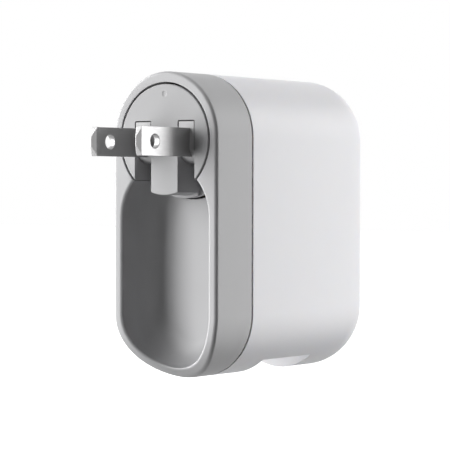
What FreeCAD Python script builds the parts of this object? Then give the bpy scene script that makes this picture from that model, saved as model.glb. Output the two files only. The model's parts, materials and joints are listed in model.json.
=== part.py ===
import FreeCAD, Part
import math
import os

import Sketcher
from FreeCAD import Placement, Rotation, Vector

# USB wall charger with folding blades, millimetres, +Z up.
# The origin is the centre of the rim face that meets the wall socket.
# The blades point along -Y and the body runs back along +Y.

SIZES = {
    "outer_radius": 14.7,  # half the width of the rounded outline
    "arc_rise": 19.7,  # height of the two end arcs' centres above and below the middle
    "cover_depth": 13.0,
    "seam_gap": 0.5,
    "total_depth": 64.8,
    "end_round": 11.3,
    "shell_wall": 2.0,
    "rim_round": 0.8,
    "chin_start": 21.0,  # below this the rim face sweeps back
    "chin_radius": 16.0,
    "tongue_length": 2.4,
    "tongue_wall": 1.0,
    "slip": 0.1,  # gap between fixed parts that slide together
    "free_gap": 0.15,  # gap beside parts that turn
    "disc_rise": 19.2,
    "disc_radius": 12.4,
    "disc_depth": 7.3,
    "bore_radius": 12.8,
    "flange_radius": 13.1,
    "flange_back": 9.4,
    "counterbore_radius": 13.25,
    "disc_edge": 0.3,
    "gate_rise": 29.4,
    "gate_radius": 0.8,
    "gate_depth": 0.15,
    "scoop_radius": 12.2,
    "scoop_rise": 1.75,
    "scoop_depth": 10.5,
    "scoop_round": 6.0,
    "scoop_lip": 0.8,
    "slot_inner": 3.8,
    "slot_outer": 8.5,
    "slot_top": 23.4,
    "slot_depth": 8.0,
    "window_low": 13.6,
    "axis_depth": 4.4,  # the fold axis, behind the rim face
    "axis_rise": 18.5,
    "barrel_radius": 4.6,
    "block_front": 4.3,
    "block_top": 4.7,
    "neck_radius": 2.8,
    "neck_tunnel": 3.0,
    "journal_radius": 1.6,
    "journal_fit": 0.05,
    "journal_end": 10.2,
    "blade_centre": 6.35,
    "blade_height": 6.35,
    "blade_thick": 1.52,
    "blade_reach": 17.5,
    "blade_heel": 3.0,
    "corner_depth": 1.2,  # the tip's cut corners, along the blade
    "corner_height": 2.2,
    "bevel_depth": 1.0,  # the tip's bevelled sides, along the blade
    "bevel_side": 0.65,
    "hole_reach": 11.9,
    "hole_radius": 1.6,
    "heel_radius": 4.5,
    "ring_groove": 13.9,
    "ring_inner": 11.9,
    "ring_thick": 0.9,
    "block_back": 12.6,
    "block_radius": 11.6,
    "recess_near": 24.6,
    "recess_far": 43.8,
    "recess_floor": 31.0,
    "floor_thick": 2.0,
    "port_pitch": 9.8,
    "port_width": 13.1,
    "port_height": 5.7,
    "port_length": 14.0,
    "port_wall": 0.3,
    "port_base": 3.5,  # height of the moulding behind the tongue
    "tongue_half": 5.5,  # half the width of the tongue
    "tongue_near": 0.3,
    "tongue_far": 2.15,
    "strip_half": 0.5,
    "strip_thick": 0.2,
    "board_thick": 1.6,
    "board_face": -9.0,  # the component side of the main board, facing +X
    "board_near": 16.5,
    "board_far": 54.5,
    "board_top": 26.0,
    "board_low": -14.8,
    "rail_side": 1.0,  # plastic on each side of the board in its ribs
    "screw_radius": 0.8,
    "screw_head": 1.6,
    "contact_width": 3.0,
    "contact_thick": 0.4,
    "contact_gap": 9.15,  # depth of the fixed contacts' front face
    "contact_pad": 2.5,  # half the height of the pad that touches a blade's heel
    "heel_half": 1.2,
    "core_depth": 36.0,  # the transformer's middle
    "core_side": 0.5,
    "core_thick": 6.0,
    "core_low": -5.0,
    "core_high": 11.0,
    "core_yoke": 3.0,
    "leg": 5.0,  # width of the transformer core's middle leg
    "core_window": 4.0,
    "bobbin_wall": 0.8,
    "bobbin_half": 6.9,
    "choke_depth": 47.5,
    "choke_rise": 19.0,
    "choke_radius": 5.0,
    "choke_hole": 2.6,
    "choke_width": 5.0,
    "choke_wire": 0.7,
    "choke_gap": 1.2,
}

# Parts that stand on the main board: height, then the ends of their depth and rise.
BLOCKS = {
    "line_capacitor": (11.0, (18.5, 26.0), (-2.0, 9.5)),
    "bridge_rectifier": (2.6, (24.0, 30.0), (-12.2, -7.0)),
    "switching_controller": (1.6, (32.5, 37.5), (-11.5, -7.5)),
    "optocoupler": (3.2, (40.0, 44.6), (-11.5, -7.5)),
    "output_rectifier": (2.4, (46.8, 51.8), (-4.2, 0.2)),
}

# Round parts on the main board: height, radius and the (depth, rise) of each one's centre.
CANS = {
    "bulk_capacitors": (17.0, 5.0, [(24.5, 19.0), (35.2, 19.0)]),
    "output_capacitors": (12.0, 3.0, [(49.5, 3.6), (49.5, 9.8)]),
    "safety_capacitor": (3.0, 3.5, [(49.0, -8.4)]),
}

# The ribs that hold the main board: how far out they reach, and the ends of their depth and rise.
RIBS = [
    (11.9, (20.0, 50.0), (24.8, 27.2)),
    (13.7, (18.0, 23.0), (-15.2, -12.6)),
    (13.7, (45.5, 52.0), (-15.2, -12.6)),
]

CONTACT_PLACES = (-3.5, -1.0, 1.0, 3.5)  # the four strips across a port's tongue
SCREW_PLACES = [(-6.6, 7.0), (6.6, 7.0), (0.0, -8.2)]  # from the disc's centre, as (x, z)

SHEET = "size"


class Dim:
    """A length with its value and the sheet expression that drives it."""

    def __init__(self, value, text):
        self.value = value
        self.text = text

    def __add__(self, other):
        other = dim(other)
        return Dim(self.value + other.value, f"({self.text} + {other.text})")

    def __sub__(self, other):
        other = dim(other)
        return Dim(self.value - other.value, f"({self.text} - {other.text})")

    def __mul__(self, factor):
        return Dim(self.value * factor, f"({self.text} * {factor})")

    def __neg__(self):
        return Dim(-self.value, f"(0 - {self.text})")

    def __radd__(self, other):
        return dim(other) + self

    def __rsub__(self, other):
        return dim(other) - self


def dim(value):
    """Plain numbers become lengths with a constant expression."""
    return value if isinstance(value, Dim) else Dim(float(value), f"({value})")


class Sheet:
    """The driving dimensions: one spreadsheet row and one attribute each."""

    def __init__(self, document):
        self.cells = document.addObject("Spreadsheet::Sheet", SHEET)
        for row, (name, value) in enumerate(SIZES.items(), start=1):
            self.cells.set(f"A{row}", name)
            self.cells.set(f"B{row}", str(value))
            self.cells.setAlias(f"B{row}", name)
            setattr(self, name, Dim(value, f"{SHEET}.{name}"))
        document.recompute()


doc = FreeCAD.newDocument("usb_wall_charger")
s = Sheet(doc)
nodes = []


# ---------------------------------------------------------------- helpers


def keep(obj, label):
    """Name an object as a finished sub-part."""
    obj.Label = label
    nodes.append(obj)
    return obj


def bind(obj, prop, length):
    """Drive a property by a length's expression."""
    obj.setExpression(prop, dim(length).text)


def move_to(obj, x, y, z):
    """Place an object, each coordinate driven by its expression."""
    bind(obj, "Placement.Base.x", x)
    bind(obj, "Placement.Base.y", y)
    bind(obj, "Placement.Base.z", z)


def box(x, y, z):
    """A box between the low and high ends given for each axis."""
    obj = doc.addObject("Part::Box", "box")
    for prop, (low, high) in zip(("Length", "Width", "Height"), (x, y, z)):
        bind(obj, prop, dim(high) - low)
    move_to(obj, x[0], y[0], z[0])
    return obj


TURNS = {
    "X": Rotation(Vector(0, 1, 0), 90),
    "Y": Rotation(Vector(1, 0, 0), -90),
    "Z": Rotation(),
}


def rod(axis, radius, span, across):
    """A cylinder along an axis, from span[0] to span[1], at the other two coordinates."""
    obj = doc.addObject("Part::Cylinder", "rod")
    bind(obj, "Radius", radius)
    bind(obj, "Height", dim(span[1]) - span[0])
    obj.Placement = Placement(Vector(), TURNS[axis])
    place = list(across)
    place.insert("XYZ".index(axis), span[0])
    move_to(obj, *place)
    return obj


def fuse(*parts):
    """Join parts into one solid."""
    if len(parts) == 1:
        return parts[0]
    obj = doc.addObject("Part::MultiFuse", "joined")
    obj.Shapes = list(parts)
    return obj


def cut(base, *tools):
    """Take the tools away from the base."""
    obj = doc.addObject("Part::Cut", "cut")
    obj.Base = base
    obj.Tool = fuse(*tools)
    return obj


def common(*parts):
    """Keep only what the parts share."""
    obj = doc.addObject("Part::MultiCommon", "common")
    obj.Shapes = list(parts)
    return obj


def group(*parts):
    """Separate solids that share one node."""
    obj = doc.addObject("Part::Compound", "group")
    obj.Links = list(parts)
    return obj


def new_body():
    """An empty PartDesign body."""
    return doc.addObject("PartDesign::Body", "body")


def sketch_on(body, role, offset=0):
    """A sketch on one of the body's origin planes, moved along the plane's normal."""
    plane = next(f for f in body.Origin.OriginFeatures if f.Role == role)
    sketch = body.newObject("Sketcher::SketchObject", "sketch")
    sketch.AttachmentSupport = (plane, [""])
    sketch.MapMode = "FlatFace"
    bind(sketch, "AttachmentOffset.Base.z", offset)
    return sketch


def pin_point(sketch, geometry, point, x, y):
    """Hold a sketch point at x, y, each driven by its expression."""
    for kind, along in (("DistanceX", dim(x)), ("DistanceY", dim(y))):
        index = sketch.addConstraint(Sketcher.Constraint(kind, -1, 1, geometry, point, along.value))
        sketch.setExpression(f"Constraints[{index}]", along.text)


def add_circle(sketch, radius, x=0, y=0):
    """A circle held by its radius and centre."""
    centre = Vector(dim(x).value, dim(y).value, 0)
    edge = sketch.addGeometry(Part.Circle(centre, Vector(0, 0, 1), dim(radius).value))
    index = sketch.addConstraint(Sketcher.Constraint("Radius", edge, dim(radius).value))
    sketch.setExpression(f"Constraints[{index}]", dim(radius).text)
    pin_point(sketch, edge, 3, x, y)


def add_polygon(sketch, corners):
    """A closed outline of straight lines through the corners."""
    flat = [Vector(dim(x).value, dim(y).value, 0) for x, y in corners]
    count = len(flat)
    lines = [
        sketch.addGeometry(Part.LineSegment(flat[i], flat[(i + 1) % count])) for i in range(count)
    ]
    for i, line in enumerate(lines):
        sketch.addConstraint(Sketcher.Constraint("Coincident", line, 2, lines[(i + 1) % count], 1))
        pin_point(sketch, line, 1, *corners[i])


def add_stadium(sketch, radius, upper, lower):
    """A rounded outline: two half circles centred at upper and lower, joined by straight sides."""
    radius, upper, lower = dim(radius), dim(upper), dim(lower)
    r, top, low = radius.value, upper.value, lower.value
    normal = Vector(0, 0, 1)
    half = math.pi
    head = sketch.addGeometry(Part.ArcOfCircle(Part.Circle(Vector(0, top, 0), normal, r), 0, half))
    left = sketch.addGeometry(Part.LineSegment(Vector(-r, top, 0), Vector(-r, low, 0)))
    foot = sketch.addGeometry(
        Part.ArcOfCircle(Part.Circle(Vector(0, low, 0), normal, r), half, 2 * half)
    )
    right = sketch.addGeometry(Part.LineSegment(Vector(r, low, 0), Vector(r, top, 0)))
    chain = [(head, 2, left, 1), (left, 2, foot, 1), (foot, 2, right, 1), (right, 2, head, 1)]
    for first, end, second, start in chain:
        sketch.addConstraint(Sketcher.Constraint("Tangent", first, end, second, start))
    pin_point(sketch, head, 3, 0, upper)
    pin_point(sketch, foot, 3, 0, lower)
    index = sketch.addConstraint(Sketcher.Constraint("Radius", head, r))
    sketch.setExpression(f"Constraints[{index}]", radius.text)


def add_corner_cut(sketch, radius, x, y):
    """The region between a quarter circle, centred at x, y, and its lower left corner."""
    radius, x, y = dim(radius), dim(x), dim(y)
    left, low = x.value - radius.value, y.value - radius.value
    circle = Part.Circle(Vector(x.value, y.value, 0), Vector(0, 0, 1), radius.value)
    arc = sketch.addGeometry(Part.ArcOfCircle(circle, math.pi, 1.5 * math.pi))
    down = sketch.addGeometry(Part.LineSegment(Vector(x.value, low, 0), Vector(left, low, 0)))
    side = sketch.addGeometry(Part.LineSegment(Vector(left, low, 0), Vector(left, y.value, 0)))
    for first, end, second, start in ((arc, 2, down, 1), (down, 2, side, 1)):
        sketch.addConstraint(Sketcher.Constraint("Coincident", first, end, second, start))
    sketch.addConstraint(Sketcher.Constraint("Horizontal", down))
    sketch.addConstraint(Sketcher.Constraint("Vertical", side))
    sketch.addConstraint(Sketcher.Constraint("Tangent", arc, 1, side, 2))
    index = sketch.addConstraint(Sketcher.Constraint("Radius", arc, radius.value))
    sketch.setExpression(f"Constraints[{index}]", radius.text)
    sketch.addConstraint(Sketcher.Constraint("Vertical", arc, 2, arc, 3))
    pin_point(sketch, arc, 3, x, y)


def pad(body, sketch, length, midplane=False):
    """Pad a sketch, along +Y on the XZ plane."""
    feature = body.newObject("PartDesign::Pad", "pad")
    feature.Profile = sketch
    feature.Reversed = True
    feature.SideType = "Symmetric" if midplane else "One side"
    bind(feature, "Length", length)
    doc.recompute()
    return feature


def pocket(body, sketch, length, midplane=False):
    """Cut a sketch out of the body, along +Y on the XZ plane, and check that material went."""
    before = body.Shape.Volume
    feature = body.newObject("PartDesign::Pocket", "pocket")
    feature.Profile = sketch
    feature.SideType = "Symmetric" if midplane else "One side"
    bind(feature, "Length", length)
    doc.recompute()
    if not body.Shape.Volume < before - 1e-3:
        raise RuntimeError(f"a pocket in {body.Label} cut nothing")
    return feature


def round_edges(body, chosen, radius):
    """Fillet the edges of the body's tip that the test picks."""
    tip = body.Tip
    names = [f"Edge{i}" for i, e in enumerate(tip.Shape.Edges, start=1) if chosen(e)]
    feature = body.newObject("PartDesign::Fillet", "fillet")
    feature.Base = (tip, names)
    bind(feature, "Radius", radius)
    doc.recompute()
    return feature


def flat_at(value, tolerance=1e-4):
    """Picks edges that lie in the plane Y = value."""

    def chosen(edge):
        b = edge.BoundBox
        return abs(b.YMin - value) < tolerance and abs(b.YMax - value) < tolerance

    return chosen


def at_depth(body, depth):
    """A sketch facing the socket, at a depth behind the rim face."""
    return sketch_on(body, "XZ_Plane", -dim(depth))


# ---------------------------------------------------------------- shells


def rounded_block(radius, start, end, rounding):
    """A rounded-outline block along Y whose far end has soft edges."""
    body = new_body()
    outline = at_depth(body, start)
    add_stadium(outline, radius, s.arc_rise, -s.arc_rise)
    pad(body, outline, dim(end) - start)
    round_edges(body, flat_at(dim(end).value), rounding)
    return body


def front_shell():
    """The white shell: a hollow rounded block with a flat port recess under it."""
    start = s.cover_depth + s.seam_gap
    wall = s.shell_wall
    outside = rounded_block(s.outer_radius, start, s.total_depth, s.end_round)
    inside = rounded_block(
        s.outer_radius - wall, start - wall, s.total_depth - wall, s.end_round - wall
    )
    inner = common(
        box(
            (-s.outer_radius, s.outer_radius),
            (s.recess_near - s.shell_wall, s.recess_far + s.shell_wall),
            (-s.arc_rise - s.outer_radius, -s.recess_floor + s.floor_thick),
        ),
        rod("Y", s.outer_radius, (start, s.total_depth - s.end_round), (0, -s.arc_rise)),
    )
    recess = box(
        (-s.outer_radius, s.outer_radius),
        (s.recess_near, s.recess_far),
        (-s.arc_rise - s.outer_radius * 2, -s.recess_floor),
    )
    holes = [
        box(
            (-s.port_width * 0.5 - s.slip, s.port_width * 0.5 + s.slip),
            (centre - s.port_height * 0.5 - s.slip, centre + s.port_height * 0.5 + s.slip),
            (-s.recess_floor - s.shell_wall, -s.recess_floor + s.floor_thick + s.slip),
        )
        for centre in port_centres()
    ]
    shell = fuse(cut(outside, inside), inner, *board_rails())
    keep(cut(shell, recess, board_slot(), *holes), "front_shell")


def board_rails():
    """Ribs inside the side wall that the main board slides between."""
    inner = s.board_face + s.rail_side
    return [box((-reach, inner), depth, rise) for reach, depth, rise in RIBS]


def board_slot():
    """The slot that the ribs leave for the main board."""
    return box(
        (s.board_face - s.board_thick - s.slip, s.board_face + s.slip),
        (s.board_near, s.board_far),
        (s.board_low - s.slip, s.board_top + s.slip),
    )


def port_centres():
    """Depths of the two port centres, spaced evenly about the middle of the recess."""
    middle = (s.recess_near + s.recess_far) * 0.5
    return [middle - s.port_pitch * 0.5, middle + s.port_pitch * 0.5]


def rear_cover():
    """The grey cover: rim, round bore for the blade disc and the finger scoop under it."""
    body = new_body()
    outline = at_depth(body, 0)
    add_stadium(outline, s.outer_radius, s.arc_rise, -s.arc_rise)
    pad(body, outline, s.cover_depth)

    chin = sketch_on(body, "YZ_Plane")
    add_corner_cut(chin, s.chin_radius, s.chin_radius, -s.chin_start)
    pocket(body, chin, s.outer_radius * 4, midplane=True)
    round_edges(body, rim_edge, s.rim_round)

    scoop = at_depth(body, 0)
    add_stadium(scoop, s.scoop_radius, s.scoop_rise, -s.arc_rise)
    pocket(body, scoop, s.scoop_depth)
    round_edges(body, flat_at(s.scoop_depth.value), s.scoop_round)
    round_edges(body, scoop_edge, s.scoop_lip)

    bore = at_depth(body, 0)
    add_circle(bore, s.bore_radius, 0, s.disc_rise)
    pocket(body, bore, s.cover_depth)
    seat = at_depth(body, s.disc_depth)
    add_circle(seat, s.counterbore_radius, 0, s.disc_rise)
    pocket(body, seat, s.cover_depth)
    groove = at_depth(body, s.flange_back)
    add_circle(groove, s.ring_groove, 0, s.disc_rise)
    pocket(body, groove, s.ring_thick + s.slip)

    tongue = at_depth(body, s.cover_depth)
    outer = s.outer_radius - s.shell_wall - s.slip
    add_stadium(tongue, outer, s.arc_rise, -s.arc_rise)
    add_stadium(tongue, outer - s.tongue_wall, s.arc_rise, -s.arc_rise)
    pad(body, tongue, s.tongue_length)
    keep(body, "rear_cover")


def scoop_edge(edge):
    """Picks the scoop's mouth, which lies inside the rim face."""
    b = edge.BoundBox
    widest = s.scoop_radius.value + 0.01
    above_floor = b.YMax < (s.scoop_depth - s.scoop_round).value - 0.01
    return above_floor and max(b.XMax, -b.XMin) < widest


def rim_edge(edge):
    """Picks the outer edge of the rim face, chin included."""
    return edge.BoundBox.YMax < s.cover_depth.value - 1


# ---------------------------------------------------------------- blade disc


def wheel(radius, start, end):
    """A round piece about the disc's centre, along Y."""
    return rod("Y", radius, (start, end), (0, s.disc_rise))


def sideways(side, near, far):
    """Distances from the middle as low and high ends, on the left (-1) or the right (1)."""
    return (dim(near), dim(far)) if side > 0 else (-dim(far), -dim(near))


def screw_places():
    """Where the three screws of the blade disc sit, as (x, z)."""
    return [(x, s.disc_rise + z) for x, z in SCREW_PLACES]


def blade_disc():
    """The round insert: two slots that the blades fold into, a tab between them and a flange."""
    body = new_body()
    face = at_depth(body, 0)
    add_circle(face, s.disc_radius, 0, s.disc_rise)
    pad(body, face, s.disc_depth)
    round_edges(body, flat_at(0), s.disc_edge)
    flange = at_depth(body, s.disc_depth)
    add_circle(flange, s.flange_radius, 0, s.disc_rise)
    pad(body, flange, s.flange_back - s.disc_depth)
    mark = at_depth(body, 0)
    add_circle(mark, s.gate_radius, 0, s.gate_rise)
    pocket(body, mark, s.gate_depth)

    low = s.disc_rise - s.flange_radius * 1.2
    tools = []
    for side in (-1, 1):
        width = sideways(side, s.slot_inner, s.slot_outer)
        tools.append(box(width, (-1, s.slot_depth), (low, s.slot_top)))
        tools.append(box(width, (0, s.flange_back + 1), (s.window_low, s.slot_top)))
    bearing = s.journal_radius + s.journal_fit
    for reach, radius in ((s.slot_inner, s.neck_tunnel), (s.journal_end + s.slip, bearing)):
        tools.append(rod("X", radius, (-reach, reach), (s.axis_depth, s.axis_rise)))
        tools.append(
            box(
                (-reach, reach),
                (s.axis_depth, s.flange_back + 1),
                (s.axis_rise - radius, s.axis_rise + radius),
            )
        )
    for x, z in screw_places():
        tools.append(rod("Y", s.screw_radius, (s.axis_depth, s.flange_back + 1), (x, z)))
    keep(cut(body, *tools), "blade_disc")


def retaining_ring():
    """The open spring ring that holds the disc's flange against its seat."""
    ring = cut(
        wheel(s.ring_groove - s.slip, s.flange_back, s.flange_back + s.ring_thick),
        wheel(s.ring_inner, s.flange_back - 1, s.flange_back + s.ring_thick + 1),
        box(
            (-s.ring_inner * 0.8, s.ring_inner * 0.8),
            (s.flange_back - 1, s.flange_back + s.ring_thick + 1),
            (s.disc_rise - s.ring_groove, s.disc_rise - s.ring_inner * 0.6),
        ),
    )
    keep(ring, "retaining_ring")


def contact_block():
    """The insulating block behind the disc, with a window for each mains contact."""
    front, back = s.flange_back - 1, s.block_back + 1
    half = s.contact_width * 0.5 + s.slip * 3
    tools = []
    for side in (-1, 1):
        width = sideways(side, s.blade_centre - half, s.blade_centre + half)
        window = (s.axis_rise - s.contact_width, s.axis_rise + s.contact_width)
        tools.append(box(width, (front, back), window))
    for place in screw_places():
        tools.append(rod("Y", s.screw_radius + s.slip, (front, back), place))
        tools.append(rod("Y", s.screw_head + s.slip, (s.block_back - 1.2, back), place))
    keep(cut(wheel(s.block_radius, s.flange_back, s.block_back), *tools), "contact_block")


def plug_screws():
    """Three socket-head screws that hold the contact block to the disc."""
    seat, top = s.block_back - 1.1, s.block_back - s.slip
    screws = []
    for place in screw_places():
        head = rod("Y", s.screw_head, (seat, top), place)
        shank = rod("Y", s.screw_radius, (s.axis_depth + 0.5, seat), place)
        socket = rod("Y", s.screw_radius * 0.8, (s.block_back - 0.6, s.block_back), place)
        screws.append(cut(fuse(head, shank), socket))
    keep(group(*screws), "plug_screws")


def mains_contacts():
    """Two bent strips from the blades' heels to the main board."""
    half = s.contact_width * 0.5
    back = s.board_near + 0.9
    for side, label, rise in ((-1, "left_contact", 2.1), (1, "right_contact", -2.5)):
        middle = s.blade_centre * side
        leg_z = (s.axis_rise + rise, s.axis_rise + rise + s.contact_thick)
        blade_pad = box(
            (middle - half, middle + half),
            (s.contact_gap, s.contact_gap + s.contact_thick),
            (s.axis_rise - s.contact_pad, s.axis_rise + s.contact_pad),
        )
        leg = box((middle - half, middle + half), (s.contact_gap, back), leg_z)
        tail = box((s.board_face, middle + half), (s.board_near + 0.4, back), leg_z)
        keep(fuse(blade_pad, leg, tail), label)


def blade_blank(side):
    """The outline of one blade in its own plane, from the tip to the heel, and its thickness."""
    body = new_body()
    plane = sketch_on(body, "YZ_Plane", s.blade_centre * side)
    half = s.blade_height * 0.5
    root, heel = s.axis_depth + s.blade_heel, s.axis_depth + s.heel_radius
    tip, shoulder = -s.blade_reach, -s.blade_reach + s.corner_depth
    lower = [
        (tip, s.axis_rise - half + s.corner_height),
        (shoulder, s.axis_rise - half),
        (root, s.axis_rise - half),
        (root, s.axis_rise - s.heel_half),
        (heel, s.axis_rise - s.heel_half),
    ]
    upper = [(depth, s.axis_rise * 2 - rise) for depth, rise in reversed(lower)]
    add_polygon(plane, lower + upper)
    pad(body, plane, s.blade_thick, midplane=True)
    return body


def tip_shape(side):
    """A tall block, wider than a blade's outline, that gives the tip its bevelled sides."""
    body = new_body()
    plane = sketch_on(body, "XY_Plane", s.axis_rise)
    middle, half = s.blade_centre * side, s.blade_thick * 0.5
    tip, back = -s.blade_reach, s.axis_depth + s.heel_radius * 2
    left = [
        (middle - half, back),
        (middle - half, tip + s.bevel_depth),
        (middle - half + s.bevel_side, tip),
    ]
    right = [(middle * 2 - across, depth) for across, depth in reversed(left)]
    add_polygon(plane, left + right)
    pad(body, plane, s.blade_height * 2, midplane=True)
    return body


def blades():
    """Two flat steel blades with a round hole and a bevelled tip."""
    for side, label in ((-1, "left_blade"), (1, "right_blade")):
        body = blade_blank(side)
        hole = sketch_on(body, "YZ_Plane", s.blade_centre * side)
        add_circle(hole, s.hole_radius, -s.hole_reach, s.axis_rise)
        pocket(body, hole, s.blade_thick * 3, midplane=True)
        keep(common(body, tip_shape(side)), label)


def blade_carrier():
    """The turning barrel: a block at each end round a blade, a neck and two journals."""
    parts = [
        rod(
            "X",
            s.neck_radius,
            (-s.slot_inner - s.slip * 2, s.slot_inner + s.slip * 2),
            (s.axis_depth, s.axis_rise),
        )
    ]
    sockets = []
    front = s.axis_depth - s.block_front
    for side in (-1, 1):
        width = sideways(side, s.slot_inner + s.free_gap, s.slot_outer - s.free_gap)
        span = sideways(side, s.slot_outer - s.free_gap, s.journal_end)
        barrel = common(
            rod("X", s.barrel_radius, width, (s.axis_depth, s.axis_rise)),
            box(width, (front, s.slot_depth * 2), (0, s.slot_top * 2)),
        )
        block = box(width, (front, s.axis_depth), (s.axis_rise, s.axis_rise + s.block_top))
        journal = rod("X", s.journal_radius, span, (s.axis_depth, s.axis_rise))
        parts += [barrel, block, journal]
        sockets.append(blade_blank(side))
    keep(cut(fuse(*parts), *sockets), "blade_carrier")


# ---------------------------------------------------------------- ports


def usb_ports():
    """Two standing receptacles: a steel shell, a plastic tongue and four contacts each."""
    low = -s.recess_floor + s.slip
    high = low + s.port_length
    for centre, place in zip(port_centres(), ("near", "far")):
        half_x, half_y = s.port_width * 0.5, s.port_height * 0.5
        wall = s.port_wall
        cavity_x = (-half_x + wall, half_x - wall)
        cavity_y = (centre - half_y + wall, centre + half_y - wall)
        shell = cut(
            box((-half_x, half_x), (centre - half_y, centre + half_y), (low, high)),
            box(cavity_x, cavity_y, (low - 1, high - wall)),
        )
        keep(shell, f"usb_shell_{place}")
        root = high - s.port_base
        base = box(cavity_x, cavity_y, (root, high - wall))
        tongue = box(
            (-s.tongue_half, s.tongue_half),
            (centre + s.tongue_near, centre + s.tongue_far),
            (low + 1.0, root),
        )
        keep(fuse(base, tongue), f"usb_tongue_{place}")
        face = centre + s.tongue_near
        strips = [
            box(
                (x - s.strip_half, x + s.strip_half),
                (face - s.strip_thick, face),
                (low + 1.6, root),
            )
            for x in CONTACT_PLACES
        ]
        keep(group(*strips), f"usb_contacts_{place}")


def port_board():
    """The small board that carries both receptacles."""
    rise = -s.recess_floor + s.slip + s.port_length
    board = box(
        (-11.0, 11.0), (s.recess_near + 1.5, s.recess_far - 1.0), (rise, rise + s.board_thick)
    )
    keep(board, "port_board")
    link = box(
        (s.board_face, s.board_face + 2.0),
        (30.0, 38.0),
        (rise + s.board_thick, rise + s.board_thick + 2.4),
    )
    keep(link, "board_link")


# ---------------------------------------------------------------- power board


def main_board():
    """The upright board along one side wall."""
    face = (s.board_face - s.board_thick, s.board_face)
    board = box(face, (s.board_near, s.board_far), (s.board_low, s.board_top))
    keep(board, "main_board")


def transformer():
    """A core with a middle leg, its bobbin and its winding."""
    middle, width = s.core_depth, s.core_side
    leg = (middle - s.leg * 0.5, middle + s.leg * 0.5)
    window = [(leg[0] - s.core_window, leg[0]), (leg[1], leg[1] + s.core_window)]
    inside = (s.core_low + s.core_yoke, s.core_high - s.core_yoke)
    thick = (width - s.core_thick * 0.5, width + s.core_thick * 0.5)
    outer = (window[0][0] - s.leg * 0.5, window[1][1] + s.leg * 0.5)
    windows = [box((thick[0] - 1, thick[1] + 1), depth, inside) for depth in window]
    core = box(thick, outer, (s.core_low, s.core_high))
    keep(cut(core, *windows), "transformer_core")

    wall, slip = s.bobbin_wall, s.slip
    tube_x = (thick[0] - wall - slip, thick[1] + wall + slip)
    tube_y = (leg[0] - wall - slip, leg[1] + wall + slip)
    wide_x = (width - s.bobbin_half, width + s.bobbin_half)
    wide_y = (window[0][0] + slip * 2, window[1][1] - slip * 2)
    low, high = inside[0] + slip, inside[1] - slip
    hole = box(
        (thick[0] - slip, thick[1] + slip), (leg[0] - slip, leg[1] + slip), (low - 1, high + 1)
    )
    bobbin = fuse(
        box(tube_x, tube_y, (low, high)),
        box(wide_x, wide_y, (low, low + wall)),
        box(wide_x, wide_y, (high - wall, high)),
    )
    keep(cut(bobbin, hole), "transformer_bobbin")
    coil = box(
        (wide_x[0] + slip * 4, wide_x[1] - slip * 4),
        (wide_y[0] + slip * 2, wide_y[1] - slip * 2),
        (low + wall, high - wall),
    )
    keep(cut(coil, box(tube_x, tube_y, (low, high))), "transformer_winding")


def line_choke():
    """A ferrite ring with two windings."""
    depth, rise, start = s.choke_depth, s.choke_rise, s.board_face + 1.0
    end = start + s.choke_width

    def ring(grow):
        """The ring's shape, grown on every side."""
        outer = rod("X", s.choke_radius + grow, (start - grow, end + grow), (depth, rise))
        inner = rod("X", s.choke_hole - grow, (start - 2, end + 2), (depth, rise))
        return cut(outer, inner)

    keep(ring(dim(0)), "choke_core")
    reach = s.choke_radius * 2
    split = box(
        (start - 2, end + 2),
        (depth - reach, depth + reach),
        (rise - s.choke_gap, rise + s.choke_gap),
    )
    keep(cut(ring(s.choke_wire), ring(s.slip * 0.5), split), "choke_windings")


def components():
    """The other parts soldered to the main board, and the sheet that covers them."""
    face = s.board_face
    for label, (height, depth, rise) in BLOCKS.items():
        keep(box((face, face + height), depth, rise), label)
    for label, (height, radius, places) in CANS.items():
        keep(group(*[rod("X", radius, (face, face + height), place) for place in places]), label)
    keep(rod("Z", 1.8, (-11.5, -3.5), (face + 2.1, 20.0)), "mains_fuse")
    keep(box((9.6, 10.0), (17.0, 54.0), (-13.0, 25.0)), "insulating_sheet")


# ---------------------------------------------------------------- build


front_shell()
rear_cover()
blade_disc()
retaining_ring()
contact_block()
plug_screws()
mains_contacts()
blade_carrier()
blades()
usb_ports()
port_board()
main_board()
transformer()
line_choke()
components()


def check():
    """Stop if any object failed or any sub-part has no valid solid."""
    doc.recompute()
    for obj in doc.Objects:
        if "Invalid" in obj.State or "Error" in obj.State:
            raise RuntimeError(f"{obj.Name} ({obj.Label}) failed: {obj.State}")
    for obj in nodes:
        if obj.Shape.isNull() or not obj.Shape.isValid() or not obj.Shape.Solids:
            raise RuntimeError(f"{obj.Label} has no valid shape")


check()
os.makedirs("parts", exist_ok=True)
for obj in nodes:
    obj.Shape.exportStep(f"parts/{obj.Label}.step")
    b = obj.Shape.BoundBox
    print(obj.Label, len(obj.Shape.Solids), round(obj.Shape.Volume), b)
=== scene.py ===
"""Looks of a USB wall charger: case, blade disc, folding blades, sockets and the studio."""

import json
import logging
import math
from collections.abc import Callable, Iterator
from contextlib import contextmanager
from dataclasses import dataclass, field
from enum import Enum

import bpy
import bmesh
from mathutils import Matrix, Vector


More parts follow.
